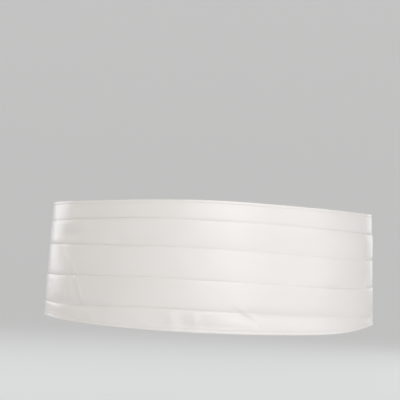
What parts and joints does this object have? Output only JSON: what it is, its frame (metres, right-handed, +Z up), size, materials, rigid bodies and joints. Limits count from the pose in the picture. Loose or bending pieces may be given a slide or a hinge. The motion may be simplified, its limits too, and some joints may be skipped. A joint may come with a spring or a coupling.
{
  "type": "cummerbund",
  "caption": "Pleated off-white satin cummerbund closed round a waist, with straps and a plain clasp at the back.",
  "frame": {"origin": "centre of the loop at the band's mid-height, where the waist goes through", "axes": "+Z up along the body, front of the band towards -Y, +X to the right in the picture"},
  "size_m": [0.3059, 0.2148, 0.1145],
  "materials": {
    "satin": "satin",
    "webbing": "matte",
    "clasp_metal": "satin"
  },
  "bodies": {
    "root": {"pleated_panel": "satin", "end_binding_left": "satin", "end_binding_right": "satin", "strap_left": "webbing", "strap_right": "webbing", "back_clasp": "clasp_metal"}
  },
  "joints": []
}
